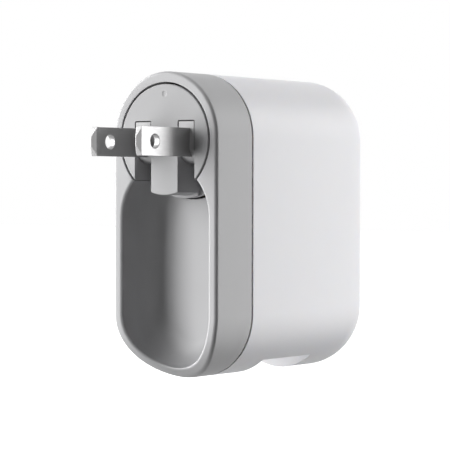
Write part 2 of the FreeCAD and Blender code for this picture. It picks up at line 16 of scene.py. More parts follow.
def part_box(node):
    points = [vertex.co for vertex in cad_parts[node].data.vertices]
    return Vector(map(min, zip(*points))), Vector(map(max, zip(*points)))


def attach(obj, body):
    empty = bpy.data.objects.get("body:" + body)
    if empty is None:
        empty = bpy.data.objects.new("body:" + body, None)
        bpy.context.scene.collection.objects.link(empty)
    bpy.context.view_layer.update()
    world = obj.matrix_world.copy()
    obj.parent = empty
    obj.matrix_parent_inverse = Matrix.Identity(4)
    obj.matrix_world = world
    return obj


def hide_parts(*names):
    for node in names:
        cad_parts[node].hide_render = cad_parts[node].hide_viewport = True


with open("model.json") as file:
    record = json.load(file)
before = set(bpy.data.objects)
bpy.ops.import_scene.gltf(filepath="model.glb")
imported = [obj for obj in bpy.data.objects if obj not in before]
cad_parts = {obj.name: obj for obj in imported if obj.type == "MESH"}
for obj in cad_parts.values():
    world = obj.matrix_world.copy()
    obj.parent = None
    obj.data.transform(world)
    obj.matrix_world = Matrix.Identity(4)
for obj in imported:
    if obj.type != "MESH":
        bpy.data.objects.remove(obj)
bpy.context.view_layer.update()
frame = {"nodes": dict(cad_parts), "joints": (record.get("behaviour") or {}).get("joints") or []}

LOG = logging.getLogger("charger")
MM = 0.001
HAIR = 0.01 * MM
WELD = 0.004 * MM
ROUND_SIDES = 160
Colour = tuple[float, float, float]
Place = tuple[float, float, float]
Span = tuple[float, float]
Test = Callable[[Vector], bool]
PairTest = Callable[[Vector, Vector], bool]

# Places that several sub-assemblies share; the blades' axis is its depth and its height.
BLADE_AXIS: Span = tuple(frame["joints"][0]["pos_m"][1:])
DISC_RISE = 19.2 * MM
FLANGE_START = 7.3 * MM


class Body(Enum):
    """The two rigid bodies that pieces ride on."""

    HOUSING = "housing"
    BLADE_UNIT = "blade_unit"


class Axis(Enum):
    """Directions that a round primitive can lie along, as its heading from Y."""

    X = math.pi / 2
    Y = 0.0


# ---------------------------------------------------------------------------
# Workbench
# ---------------------------------------------------------------------------


class Workpiece:
    """One mesh on the bench, added as a primitive and shaped with edit operators."""

    def __init__(self, name: str) -> None:
        """Takes the active object, just added, as the piece.

        Args:
            name: the piece's name in the finished model.
        """
        self.item: bpy.types.Object = bpy.context.active_object
        self.item.name = name
        self.item.data.name = name
        bpy.ops.object.transform_apply(location=True, rotation=True, scale=True)

    @classmethod
    def cylinder(
        cls,
        name: str,
        radius: float,
        span: Span,
        across: Span,
        axis: Axis = Axis.Y,
        sides: int = 96,
    ) -> "Workpiece":
        """Adds a cylinder along an axis.

        Args:
            name: the piece's name.
            radius: its radius.
            span: where it starts and ends along its axis.
            across: its centre on the other two axes, in X, Y, Z order.
            axis: the direction it lies along.
            sides: how many flats make it round; none of them ends level with its centre.

        Returns:
            The new piece.
        """
        bpy.ops.object.select_all(action="DESELECT")
        middle = (span[0] + span[1]) / 2
        place = (middle, *across) if axis is Axis.X else (across[0], middle, across[1])
        turn = (math.pi / 2, math.pi / sides, axis.value)
        bpy.ops.mesh.primitive_cylinder_add(
            vertices=sides, radius=radius, depth=span[1] - span[0], location=place, rotation=turn
        )
        return cls(name)

    @classmethod
    def block(cls, name: str, low: Vector | Place, high: Vector | Place) -> "Workpiece":
        """Adds a box between two corners.

        Args:
            name: the piece's name.
            low: the lowest corner.
            high: the highest corner.

        Returns:
            The new piece.
        """
        bpy.ops.object.select_all(action="DESELECT")
        low, high = Vector(low), Vector(high)
        bpy.ops.mesh.primitive_cube_add(size=1.0, location=(low + high) / 2)
        bpy.context.active_object.scale = high - low
        return cls(name)

    @contextmanager
    def edit(self) -> Iterator[bpy.types.Object]:
        """Opens the piece in edit mode with nothing selected, and closes it again."""
        bpy.ops.object.select_all(action="DESELECT")
        bpy.context.view_layer.objects.active = self.item
        self.item.select_set(True)
        bpy.ops.object.mode_set(mode="EDIT")
        bpy.ops.mesh.select_all(action="DESELECT")
        yield self.item
        bpy.ops.object.mode_set(mode="OBJECT")

    def _pick(self, mode: str, parts: str, place: Callable, test: Callable) -> None:
        """Selects the parts of the open mesh whose place passes a test.

        Args:
            mode: the select mode, VERT, EDGE or FACE.
            parts: the mesh's list of such parts.
            place: gives a part's place as the test's arguments.
            test: the test.
        """
        bpy.ops.mesh.select_mode(type=mode)
        bpy.ops.mesh.select_all(action="DESELECT")
        mesh = bmesh.from_edit_mesh(self.item.data)
        for part in getattr(mesh, parts):
            if test(*place(part)):
                part.select_set(True)
        mesh.select_flush_mode()
        bmesh.update_edit_mesh(self.item.data)

    def pick_points(self, test: Test) -> None:
        """Selects points by place."""
        self._pick("VERT", "verts", lambda v: (v.co,), test)

    def pick_edges(self, test: PairTest) -> None:
        """Selects edges by their two ends."""
        self._pick("EDGE", "edges", lambda e: (e.verts[0].co, e.verts[1].co), test)

    def pick_faces(self, test: PairTest) -> None:
        """Selects faces by centre and normal."""
        self._pick("FACE", "faces", lambda f: (f.calc_center_median(), f.normal), test)

    def move(self, points: Test, by: Place) -> None:
        """Moves the points that pass a test.

        Args:
            points: the test on a point's place.
            by: how far they move.
        """
        with self.edit():
            self.pick_points(points)
            bpy.ops.transform.translate(value=by)

    def bevel(self, edges: PairTest, width: float, segments: int = 3) -> None:
        """Rounds the edges whose ends pass a test.

        Args:
            edges: the test on an edge's two ends.
            width: the radius on a square edge.
            segments: how many steps make the round.
        """
        with self.edit():
            self.pick_edges(edges)
            bpy.ops.mesh.bevel(
                offset=width, segments=segments, profile=0.5, affect="EDGES", clamp_overlap=False
            )

    def press(self, side: int, steps: list[Span]) -> None:
        """Sinks or raises the largest flat face at one end, in steps that each leave a loop.

        Args:
            side: -1 for the near end, 1 for the far end.
            steps: for each loop, how far it moves inwards and how far it moves outwards along Y.
        """
        with self.edit():
            bpy.ops.mesh.select_mode(type="FACE")
            mesh = bmesh.from_edit_mesh(self.item.data)
            flat = [face for face in mesh.faces if face.normal.y * side > 0.999]
            max(flat, key=lambda face: face.calc_area()).select_set(True)
            bmesh.update_edit_mesh(self.item.data)
            for inward, along in steps:
                if inward:
                    bpy.ops.mesh.inset(thickness=inward, depth=along, use_even_offset=True)
                else:
                    bpy.ops.mesh.extrude_region_move(
                        TRANSFORM_OT_translate={"value": (0.0, along * side, 0.0)}
                    )

    def trim(self, place: Vector, outward: Vector) -> None:
        """Cuts the piece off along a plane and closes the cut.

        Args:
            place: a point on the plane.
            outward: the plane's normal, towards what goes away.
        """
        with self.edit():
            bpy.ops.mesh.select_all(action="SELECT")
            bpy.ops.mesh.bisect(
                plane_co=place, plane_no=outward.normalized(), use_fill=True, clear_outer=True
            )

    def split(self, place: Vector, normal: Vector) -> None:
        """Scores a line of new points round the piece where a plane meets it.

        Args:
            place: a point on the plane.
            normal: the plane's normal.
        """
        with self.edit():
            bpy.ops.mesh.select_all(action="SELECT")
            bpy.ops.mesh.bisect(plane_co=place, plane_no=normal.normalized())

    def apply(self, kind: str, **settings: object) -> None:
        """Adds a modifier and applies it at once.

        Args:
            kind: the modifier's type.
            **settings: its values.
        """
        bpy.ops.object.select_all(action="DESELECT")
        bpy.context.view_layer.objects.active = self.item
        self.item.select_set(True)
        modifier = self.item.modifiers.new(kind.title(), kind)
        for name, value in settings.items():
            setattr(modifier, name, value)
        bpy.ops.object.modifier_apply(modifier=modifier.name)

    def _combine(self, tool: "Workpiece", operation: str) -> None:
        """Cuts or joins with another piece, which is used up.

        Args:
            tool: the other piece.
            operation: the boolean modifier's operation.
        """
        self.apply("BOOLEAN", object=tool.item, operation=operation, solver="EXACT")
        mesh = tool.item.data
        bpy.data.objects.remove(tool.item)
        bpy.data.meshes.remove(mesh)

    def cut(self, *tools: "Workpiece") -> None:
        """Takes the tools' shapes out of the piece."""
        for tool in tools:
            self._combine(tool, "DIFFERENCE")

    def join(self, *tools: "Workpiece") -> None:
        """Adds the tools' shapes to the piece."""
        for tool in tools:
            self._combine(tool, "UNION")

    def soften(
        self, width: float, segments: int = 2, angle: float = 40.0, smooth: float = 35.0
    ) -> None:
        """Rounds every sharp edge a little and smooths the shading.

        Args:
            width: the width of the round.
            segments: its steps.
            angle: edges sharper than this many degrees are rounded.
            smooth: edges sharper than this many degrees still look sharp.
        """
        with self.edit():
            bpy.ops.mesh.select_all(action="SELECT")
            bpy.ops.mesh.remove_doubles(threshold=WELD)
            bpy.ops.mesh.dissolve_degenerate(threshold=WELD)
        self.apply(
            "BEVEL",
            width=width,
            segments=segments,
            limit_method="ANGLE",
            angle_limit=math.radians(angle),
            use_clamp_overlap=False,
            miter_outer="MITER_ARC",
        )
        self.item.select_set(True)
        bpy.context.view_layer.objects.active = self.item
        bpy.ops.object.shade_smooth_by_angle(angle=math.radians(smooth))
        self.apply("WEIGHTED_NORMAL", keep_sharp=True)

    def finish(self, body: Body, slot: str, finish: bpy.types.Material, *nodes: str) -> None:
        """Hands the piece over: its material, its body and the CAD nodes it stands for.

        Args:
            body: what it moves with.
            slot: the record's material slot; not used.
            finish: its material.
            *nodes: the CAD nodes it replaces.
        """
        self.item.data.materials.clear()
        self.item.data.materials.append(finish)
        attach(self.item, body.value)
        if nodes:
            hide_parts(*nodes)
        LOG.info("%s: %d faces", self.item.name, len(self.item.data.polygons))


def quarter_round(radius: float, steps: int, outward: bool) -> list[Span]:
    """Steps that press a face down round a quarter circle.

    Args:
        radius: the circle's radius.
        steps: how many loops it takes.
        outward: true for a lip that turns from flat to upright, false for a floor's inner round.

    Returns:
        The loops' moves inwards and along the normal.
    """
    moves = []
    for i in range(steps):
        a, b = (math.pi / 2 * (i + k) / steps for k in (0, 1))
        fast = radius * (math.sin(b) - math.sin(a))
        slow = radius * (math.cos(a) - math.cos(b))
        moves.append((fast, -slow) if outward else (slow, -fast))
    return moves


# ---------------------------------------------------------------------------
# Finishes
# ---------------------------------------------------------------------------


class Shader:
    """A material's node tree, wired step by step."""

    def __init__(self, name: str) -> None:
        """Starts a material with one principled shader."""
        self.material = bpy.data.materials.new(name)
        self.material.use_nodes = True
        self.tree = self.material.node_tree
        self.surface = self.tree.nodes["Principled BSDF"]
        self.place = self.tree.nodes.new("ShaderNodeTexCoord")

    def node(self, kind: str, **values: object) -> bpy.types.Node:
        """Adds a node and sets its properties and input values by name.

        Args:
            kind: the node's type.
            **values: properties, or inputs with an underscore for each space.

        Returns:
            The node.
        """
        node = self.tree.nodes.new(kind)
        for name, value in values.items():
            if hasattr(node, name):
                setattr(node, name, value)
            else:
                node.inputs[name.replace("_", " ")].default_value = value
        return node

    def link(self, source: bpy.types.NodeSocket, target: bpy.types.NodeSocket) -> None:
        """Joins two sockets."""
        self.tree.links.new(source, target)

    def noise(
        self, scale: float, detail: float = 2.0, stretch: Place = (1.0, 1.0, 1.0)
    ) -> bpy.types.NodeSocket:
        """A noise over the piece.

        Args:
            scale: grains per metre.
            detail: its octaves.
            stretch: how much finer it is along each axis.

        Returns:
            The noise's value, about 0.5.
        """
        mapping = self.node("ShaderNodeMapping")
        mapping.inputs["Scale"].default_value = stretch
        noise = self.node("ShaderNodeTexNoise", Scale=scale, Detail=detail)
        self.link(self.place.outputs["Object"], mapping.inputs["Vector"])
        self.link(mapping.outputs["Vector"], noise.inputs["Vector"])
        return noise.outputs["Fac"]

    def between(
        self, value: bpy.types.NodeSocket, low: float, high: float
    ) -> bpy.types.NodeSocket:
        """Spreads a noise's usual range over another.

        Args:
            value: the noise.
            low: what its low end becomes.
            high: what its high end becomes.

        Returns:
            The new value.
        """
        span = self.node("ShaderNodeMapRange", From_Min=0.3, From_Max=0.7, To_Min=low, To_Max=high)
        self.link(value, span.inputs["Value"])
        return span.outputs["Result"]

    def blend(
        self, value: bpy.types.NodeSocket, first: Colour, second: Colour
    ) -> bpy.types.NodeSocket:
        """A colour between two others.

        Args:
            value: 0 for the first, 1 for the second.
            first: one colour.
            second: the other.

        Returns:
            The colour.
        """
        mix = self.node("ShaderNodeMix", data_type="RGBA")
        mix.inputs["A"].default_value = (*first, 1.0)
        mix.inputs["B"].default_value = (*second, 1.0)
        self.link(value, mix.inputs["Factor"])
        return mix.outputs["Result"]

    def bump(self, height: bpy.types.NodeSocket, depth: float) -> None:
        """Raises the surface by a height map.

        Args:
            height: the map.
            depth: how high its top stands.
        """
        bump = self.node("ShaderNodeBump", Strength=1.0, Distance=depth)
        self.link(height, bump.inputs["Height"])
        self.link(bump.outputs["Normal"], self.surface.inputs["Normal"])


@dataclass(frozen=True)
class MouldedPlastic:
    """Injection-moulded plastic with a fine spark-eroded grain."""

    name: str
    colour: Colour
    roughness: float = 0.42
    grain: float = 0.004 * MM
    grain_size: float = 0.18 * MM
    cloud_size: float = 9 * MM
    tint: float = 0.02
    spread: float = 0.04
    subsurface: float = 0.0
    subsurface_reach: float = 1.2 * MM

    def build(self) -> bpy.types.Material:
        """Makes the material.

        Returns:
            The material.
        """
        shader = Shader(self.name)
        cloud = shader.noise(1 / self.cloud_size, 3.0)
        darker = tuple(c * (1 - self.tint) for c in self.colour)
        lighter = tuple(min(1.0, c * (1 + self.tint)) for c in self.colour)
        shader.link(shader.blend(cloud, darker, lighter), shader.surface.inputs["Base Color"])
        fine = shader.noise(1 / self.grain_size, 2.0)
        rough = shader.between(fine, self.roughness - self.spread, self.roughness + self.spread)
        shader.link(rough, shader.surface.inputs["Roughness"])
        if self.subsurface:
            shader.surface.inputs["Subsurface Weight"].default_value = self.subsurface
            shader.surface.inputs["Subsurface Radius"].default_value = (1.0, 0.8, 0.6)
            shader.surface.inputs["Subsurface Scale"].default_value = self.subsurface_reach
        shader.bump(fine, self.grain)
        return shader.material


@dataclass(frozen=True)
class Metal:
    """Sheet or stamped metal, with fine lines drawn along one axis."""

    name: str
    colour: Colour
    roughness: float = 0.2
    lines: Place = (1.0, 0.04, 1.0)
    line_size: float = 0.12 * MM
    line_depth: float = 0.0006 * MM
    cloud_size: float = 4 * MM
    dullest: float = 0.93
    spread: Span = (0.8, 1.25)

    def build(self) -> bpy.types.Material:
        """Makes the material.

        Returns:
            The material.
        """
        shader = Shader(self.name)
        shader.surface.inputs["Metallic"].default_value = 1.0
        drawn = shader.noise(1 / self.line_size, 3.0, self.lines)
        cloud = shader.noise(1 / self.cloud_size, 2.0)
        dull = tuple(c * self.dullest for c in self.colour)
        shader.link(shader.blend(cloud, dull, self.colour), shader.surface.inputs["Base Color"])
        rough = shader.between(drawn, *(self.roughness * share for share in self.spread))
        shader.link(rough, shader.surface.inputs["Roughness"])
        shader.bump(drawn, self.line_depth)
        return shader.material


@dataclass(frozen=True)
class Striped:
    """A hidden component's surface with even bands, such as wire turns or board tracks."""

    name: str
    colour: Colour
    second: Colour
    pitch: float
    direction: str = "Z"
    roughness: float = 0.4
    metallic: float = 0.0
    relief: float = 0.05 * MM
    unit_pitch: float = 0.314  # the pitch of the wave texture's bands at a scale of 1
    waver: float = 0.3

    def build(self) -> bpy.types.Material:
        """Makes the material.

        Returns:
            The material.
        """
        shader = Shader(self.name)
        wave = shader.node("ShaderNodeTexWave", bands_direction=self.direction)
        wave.inputs["Scale"].default_value = self.unit_pitch / self.pitch
        wave.inputs["Distortion"].default_value = self.waver
        shader.link(shader.place.outputs["Object"], wave.inputs["Vector"])
        bands = wave.outputs["Fac"]
        colour = shader.blend(bands, self.second, self.colour)
        shader.link(colour, shader.surface.inputs["Base Color"])
        shader.surface.inputs["Roughness"].default_value = self.roughness
        shader.surface.inputs["Metallic"].default_value = self.metallic
        shader.bump(bands, self.relief)
        return shader.material


WHITE = MouldedPlastic(
    "white_plastic", (0.83, 0.828, 0.855), roughness=0.38, tint=0.008, subsurface=0.15
)
LIGHT_GREY = MouldedPlastic("cover_grey_plastic", (0.43, 0.43, 0.438), roughness=0.45)
GREY = MouldedPlastic("disc_grey_plastic", (0.37, 0.37, 0.377), roughness=0.45)
PALE_GREY = MouldedPlastic("pale_grey_plastic", (0.47, 0.47, 0.475), roughness=0.4)
BLACK = MouldedPlastic("black_plastic", (0.02, 0.02, 0.022), roughness=0.5)
BLADE = Metal("blade_plating", (0.34, 0.338, 0.34), roughness=0.38)
TIN = Metal("tinned_sheet", (0.7, 0.7, 0.71), roughness=0.26, lines=(1.0, 1.0, 0.05))
SPRING = Metal("spring_steel", (0.4, 0.4, 0.41), roughness=0.35)
ZINC = Metal("zinc_plating", (0.5, 0.5, 0.52), roughness=0.3, lines=(1.0, 1.0, 1.0))
BRASS = Metal("contact_brass", (0.78, 0.58, 0.28), roughness=0.28)
BOARD = Striped("board_green", (0.015, 0.12, 0.04), (0.01, 0.08, 0.03), 1.1 * MM, relief=0.02 * MM)
FERRITE = MouldedPlastic("ferrite", (0.035, 0.035, 0.038), roughness=0.6, grain=0.02 * MM)
COPPER = Striped(
    "copper_wire", (0.6, 0.26, 0.12), (0.25, 0.1, 0.05), 0.5 * MM, "Y", 0.3, 0.8, 0.12 * MM
)
TAPE = Striped("yellow_tape", (0.75, 0.52, 0.05), (0.6, 0.4, 0.04), 6 * MM, "Z", 0.35)
YELLOW = MouldedPlastic("yellow_plastic", (0.75, 0.52, 0.05), roughness=0.45)
SLEEVE = Striped("capacitor_sleeve", (0.02, 0.025, 0.09), (0.3, 0.32, 0.4), 10 * MM, "Y", 0.25)
CERAMIC = MouldedPlastic("blue_coating", (0.03, 0.1, 0.4), roughness=0.3, grain=0.02 * MM)
RED = MouldedPlastic("fuse_body", (0.35, 0.05, 0.03), roughness=0.4)
FILM = MouldedPlastic("clear_film", (0.7, 0.7, 0.64), roughness=0.2)


# ---------------------------------------------------------------------------
# Case
# ---------------------------------------------------------------------------


@dataclass
class Outline:
    """The case's rounded outline: half circles above and below straight sides."""

    radius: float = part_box("rear_cover")[1].x
    rise: float = -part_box("rear_cover")[0].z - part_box("rear_cover")[1].x

    def block(self, name: str, shrink: float, start: float, end: float) -> Workpiece:
        """Makes a block with the outline.

        Args:
            name: the piece's name.
            shrink: how far inside the outline it stays.
            start: its depth at the near end.
            end: its depth at the far end.

        Returns:
            The block.
        """
        radius = self.radius - shrink
        piece = Workpiece.cylinder(name, radius, (start, end), (0.0, 0.0), sides=ROUND_SIDES)
        piece.move(lambda co: co.z > 0, (0.0, 0.0, self.rise))
        piece.move(lambda co: co.z < 0, (0.0, 0.0, -self.rise))
        return piece


@dataclass
class FrontShell:
    """The white shell with its soft far end and the port recess."""

    outline: Outline = field(default_factory=Outline)
    start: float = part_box("front_shell")[0].y
    end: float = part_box("front_shell")[1].y
    end_round: float = 11.3 * MM
    wall: float = 2.0 * MM
    recess: Span = (24.6 * MM, 43.8 * MM)
    floor: float = -31.0 * MM
    panel: float = 2.0 * MM
    port_slack: float = 0.12 * MM
    port_corner: float = 0.6 * MM
    edge: float = 0.12 * MM

    def shell(self) -> Workpiece:
        """Makes the hollow shell, open towards the cover.

        Returns:
            The shell.
        """
        piece = self.outline.block("front_shell_body", 0.0, self.start, self.end)
        far = self.end - HAIR
        piece.bevel(lambda a, b: a.y > far and b.y > far, self.end_round, segments=22)
        with piece.edit():
            piece.pick_faces(lambda centre, normal: normal.y < -0.99)
            bpy.ops.mesh.delete(type="ONLY_FACE")
        piece.apply("SOLIDIFY", thickness=self.wall, offset=-1.0, use_even_offset=True)
        return piece

    def panel_block(self) -> Workpiece:
        """Makes the thick flat panel inside the bottom of the shell.

        Returns:
            The panel.
        """
        near, far = self.recess[0] - self.wall, self.recess[1] + self.wall
        radius, middle = self.outline.radius - self.wall / 2, (0.0, -self.outline.rise)
        piece = Workpiece.cylinder("panel", radius, (near, far), middle, sides=ROUND_SIDES)
        piece.trim(Vector((0.0, 0.0, self.floor + self.panel)), Vector((0.0, 0.0, 1.0)))
        return piece

    def port_hole(self, place: str) -> Workpiece:
        """A cutter for the hole round one socket.

        Args:
            place: near or far.

        Returns:
            The cutter.
        """
        slack = Vector((self.port_slack, self.port_slack, 0.0))
        low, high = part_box(f"usb_shell_{place}")
        low, high = low - slack, high + slack
        low.z, high.z = self.floor - MM, self.floor + self.panel + MM
        hole = Workpiece.block("port_hole", low, high)
        hole.bevel(lambda a, b: (a - b).xy.length < HAIR, self.port_corner, segments=5)
        return hole

    def build(self) -> None:
        """Makes and dresses the shell."""
        piece = self.shell()
        piece.join(self.panel_block())
        reach = 2 * self.outline.radius
        near, far = self.recess
        piece.cut(
            Workpiece.block("recess", (-reach, near, self.floor - reach), (reach, far, self.floor)),
            self.port_hole("near"),
            self.port_hole("far"),
        )
        piece.soften(self.edge)
        piece.finish(Body.HOUSING, "white_plastic", WHITE.build(), "front_shell")


@dataclass
class RearCover:
    """The grey cover: a rim, the bore for the disc, the finger scoop and the chin."""

    outline: Outline = field(default_factory=Outline)
    depth: float = 13.0 * MM
    rim_round: float = 0.8 * MM
    scoop_radius: float = 12.2 * MM
    scoop_rise: float = 1.75 * MM
    scoop_depth: float = 10.5 * MM
    scoop_round: float = 6.0 * MM
    lip: float = 0.8 * MM
    chin_start: float = -21.0 * MM
    chin_radius: float = 16.0 * MM
    disc_rise: float = DISC_RISE
    bore: float = 12.8 * MM
    seat: float = 13.25 * MM
    seat_depth: float = FLANGE_START
    tongue: tuple[float, float, float] = (2.1 * MM, 1.0 * MM, 2.4 * MM)
    root: float = 0.3 * MM
    edge: float = 0.1 * MM

    def body(self) -> Workpiece:
        """Makes the cover with its rim and scoop pressed in.

        Returns:
            The cover.
        """
        piece = self.outline.block("rear_cover_body", 0.0, 0.0, self.depth)
        piece.bevel(lambda a, b: a.y < HAIR and b.y < HAIR, self.rim_round, segments=6)
        rim = self.outline.radius - self.rim_round - self.scoop_radius - self.lip
        piece.press(-1, [(rim, 0.0)])
        inner = self.scoop_radius + self.lip + HAIR
        drop = self.scoop_rise - self.outline.rise

        def inside(co: Vector) -> bool:
            """Finds the upper half of the pressed loop."""
            return co.y < HAIR and co.z > 0 and math.hypot(co.x, co.z - self.outline.rise) < inner

        piece.move(inside, (0.0, 0.0, drop))
        wall = self.scoop_depth - self.scoop_round - self.lip
        steps = quarter_round(self.lip, steps=6, outward=True)
        steps.append((0.0, -wall))
        steps += quarter_round(self.scoop_round, steps=16, outward=False)
        piece.press(-1, steps)
        return piece

    def tongue_ring(self) -> Workpiece:
        """Makes the ring at the back that slides into the front shell.

        Returns:
            The ring.
        """
        step, width, length = self.tongue
        root, end = self.depth - self.root, self.depth + length
        ring = self.outline.block("tongue", step, root, end)
        ring.cut(self.outline.block("tongue_hole", step + width, root - MM, end + MM))
        return ring

    def sweep_chin(self, piece: Workpiece) -> None:
        """Sweeps the lower end of the rim back round a large arc.

        Args:
            piece: the cover.
        """
        limit = self.lip + HAIR
        points = [v.co for v in piece.item.data.vertices if v.co.y < limit]
        rows = {round(co.z, 6) for co in points if co.z < self.chin_start}
        with piece.edit():
            for row in rows:
                fall = row - self.chin_start
                back = self.chin_radius - math.sqrt(self.chin_radius**2 - fall**2)
                piece.pick_points(lambda co: co.y < limit and round(co.z, 6) == row)
                bpy.ops.transform.translate(value=(0.0, back, 0.0))

    def build(self) -> None:
        """Makes and dresses the cover."""
        piece = self.body()
        self.sweep_chin(piece)
        across, back = (0.0, self.disc_rise), 2 * self.depth
        for name, radius, front in (
            ("bore", self.bore, -back),
            ("seat", self.seat, self.seat_depth),
        ):
            piece.cut(Workpiece.cylinder(name, radius, (front, back), across, sides=ROUND_SIDES))
        piece.join(self.tongue_ring())
        piece.soften(self.edge)
        piece.finish(Body.HOUSING, "grey_plastic", LIGHT_GREY.build(), "rear_cover")


# ---------------------------------------------------------------------------
# Plug
# ---------------------------------------------------------------------------


@dataclass
class BladeDisc:
    """The round insert with two slots open at the bottom."""

    rise: float = DISC_RISE
    radius: float = 12.4 * MM
    flange: float = 13.1 * MM
    flange_start: float = FLANGE_START
    flange_overlap: float = 0.2 * MM
    back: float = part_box("blade_disc")[1].y
    edge: float = 0.3 * MM
    slot: Span = (3.8 * MM, 8.5 * MM)
    slot_top: float = 23.4 * MM
    slot_depth: float = 8.0 * MM
    window_low: float = 13.6 * MM
    axis: Span = BLADE_AXIS
    tunnel: float = 3.0 * MM
    bearing: float = 1.65 * MM
    bearing_end: float = 10.3 * MM
    mark_rise: float = 29.4 * MM
    mark_radius: float = 2.2 * MM
    mark_depth: float = 0.15 * MM
    slot_corner: float = 0.35 * MM
    slot_overlap: float = 0.5 * MM
    soft_edge: float = 0.12 * MM

    def slot_cutter(self, side: int, low: float, depth: float) -> Workpiece:
        """A cutter for one slot, with slightly rounded corners.

        Args:
            side: -1 for the left slot, 1 for the right one.
            low: its lower end.
            depth: how deep it goes.

        Returns:
            The cutter.
        """
        near, far = sorted(edge * side for edge in self.slot)
        piece = Workpiece.block("slot", (near, -2 * MM, low), (far, depth, self.slot_top))
        top = self.slot_top - HAIR
        piece.bevel(
            lambda a, b: min(a.z, b.z) > top and abs(a.x - b.x) < HAIR,
            self.slot_corner,
            segments=4,
        )
        return piece

    def build(self) -> None:
        """Makes and dresses the disc."""
        across = (0.0, self.rise)
        front = (0.0, self.flange_start + self.flange_overlap)
        flange = (self.flange_start, self.back)
        piece = Workpiece.cylinder(
            "blade_disc_body", self.radius, front, across, sides=ROUND_SIDES
        )
        piece.bevel(lambda a, b: a.y < HAIR and b.y < HAIR, self.edge, segments=4)
        piece.join(Workpiece.cylinder("flange", self.flange, flange, across, sides=ROUND_SIDES))
        low = self.rise - self.flange - MM
        through = self.back + 2 * MM
        for side in (-1, 1):
            piece.cut(
                self.slot_cutter(side, low, self.slot_depth),
                self.slot_cutter(side, self.window_low, through),
            )
        reaches = (self.slot[0] + self.slot_overlap, self.bearing_end)
        for reach, radius in zip(reaches, (self.tunnel, self.bearing)):
            span = (-reach, reach)
            tunnel = Workpiece.cylinder("tunnel", radius, span, self.axis, Axis.X, sides=64)
            tunnel.move(lambda co: co.y > self.axis[0], (0.0, through - self.axis[0], 0.0))
            piece.cut(tunnel)
        bpy.ops.object.select_all(action="DESELECT")
        bpy.ops.mesh.primitive_uv_sphere_add(
            segments=48,
            ring_count=24,
            radius=self.mark_radius,
            location=(0.0, self.mark_depth - self.mark_radius, self.mark_rise),
        )
        piece.cut(Workpiece("gate_mark"))
        piece.soften(self.soft_edge)
        piece.finish(Body.HOUSING, "grey_plastic", GREY.build(), "blade_disc")


@dataclass
class BladeUnit:
    """The turning barrel and the two flat blades in it."""

    axis: Span = BLADE_AXIS
    barrel: float = 4.6 * MM
    front: float = 0.1 * MM
    top: float = 4.7 * MM
    neck: float = 2.8 * MM
    journal: float = 1.6 * MM
    journal_end: float = 10.2 * MM
    block_span: Span = (3.95 * MM, 8.35 * MM)
    overlap: float = 0.05 * MM
    corner: Span = (1.2 * MM, 2.2 * MM)
    bevel: Span = (1.0 * MM, 0.65 * MM)
    hole_depth: float = -11.9 * MM
    hole: float = 1.6 * MM
    heel: float = 3.0 * MM
    barrel_edge: float = 0.18 * MM
    blade_edge: float = 0.1 * MM
    blade_angle: float = 25.0

    def end_block(self, side: int) -> Workpiece:
        """Makes one barrel end: round behind and below, flat in front and on top.

        Args:
            side: -1 for the left end, 1 for the right one.

        Returns:
            The end.
        """
        span = tuple(sorted(edge * side for edge in self.block_span))
        depth, rise = self.axis
        near, far = span
        reach = 2 * self.barrel
        piece = Workpiece.cylinder("barrel_end", self.barrel, span, self.axis, Axis.X)
        low, high = (near - MM, -reach, rise - reach), (far + MM, self.front, rise + reach)
        piece.cut(Workpiece.block("front_cut", low, high))
        low, high = (near, self.front, rise), (far, depth, rise + self.top)
        piece.join(Workpiece.block("corner", low, high))
        return piece

    def carrier(self) -> None:
        """Makes and dresses the barrel."""
        reach = self.block_span[0] + self.overlap
        span = (-reach, reach)
        name = "blade_carrier_body"
        piece = Workpiece.cylinder(name, self.neck, span, self.axis, Axis.X, sides=72)
        for side in (-1, 1):
            root = self.block_span[1] - self.overlap
            span = tuple(sorted((root * side, self.journal_end * side)))
            piece.join(
                self.end_block(side),
                Workpiece.cylinder("journal", self.journal, span, self.axis, Axis.X, sides=48),
            )
        piece.soften(self.barrel_edge, segments=3)
        piece.finish(Body.BLADE_UNIT, "pale_grey_plastic", PALE_GREY.build(), "blade_carrier")

    def blade(self, node: str, finish: bpy.types.Material) -> None:
        """Makes and dresses one blade.

        Args:
            node: the CAD node it stands for.
            finish: its material.
        """
        low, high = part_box(node)
        rise = (low.z + high.z) / 2
        root = Vector((high.x, self.axis[0] + self.heel, high.z))
        piece = Workpiece.block(f"{node}_body", low, root)
        tip = low.y + HAIR
        piece.bevel(
            lambda a, b: max(a.y, b.y) < tip and abs(a.x - b.x) < HAIR,
            self.bevel[1],
            segments=1,
        )
        slack = self.bevel[0] - self.bevel[1]
        piece.move(lambda co: tip < co.y < low.y + self.bevel[0], (0.0, slack, 0.0))
        for side, edge in ((-1, low.z), (1, high.z)):
            piece.trim(
                Vector((0.0, low.y, edge - side * self.corner[1])),
                Vector((0.0, -self.corner[1], side * self.corner[0])),
            )
        span = (low.x - MM, high.x + MM)
        piece.cut(
            Workpiece.cylinder("hole", self.hole, span, (self.hole_depth, rise), Axis.X, sides=64)
        )
        piece.soften(self.blade_edge, segments=3, angle=self.blade_angle)
        piece.finish(Body.BLADE_UNIT, "blade_steel", finish, node)

    def build(self) -> None:
        """Makes the barrel and both blades."""
        self.carrier()
        finish = BLADE.build()
        for node in ("left_blade", "right_blade"):
            self.blade(node, finish)


# ---------------------------------------------------------------------------
# Sockets and fittings
# ---------------------------------------------------------------------------


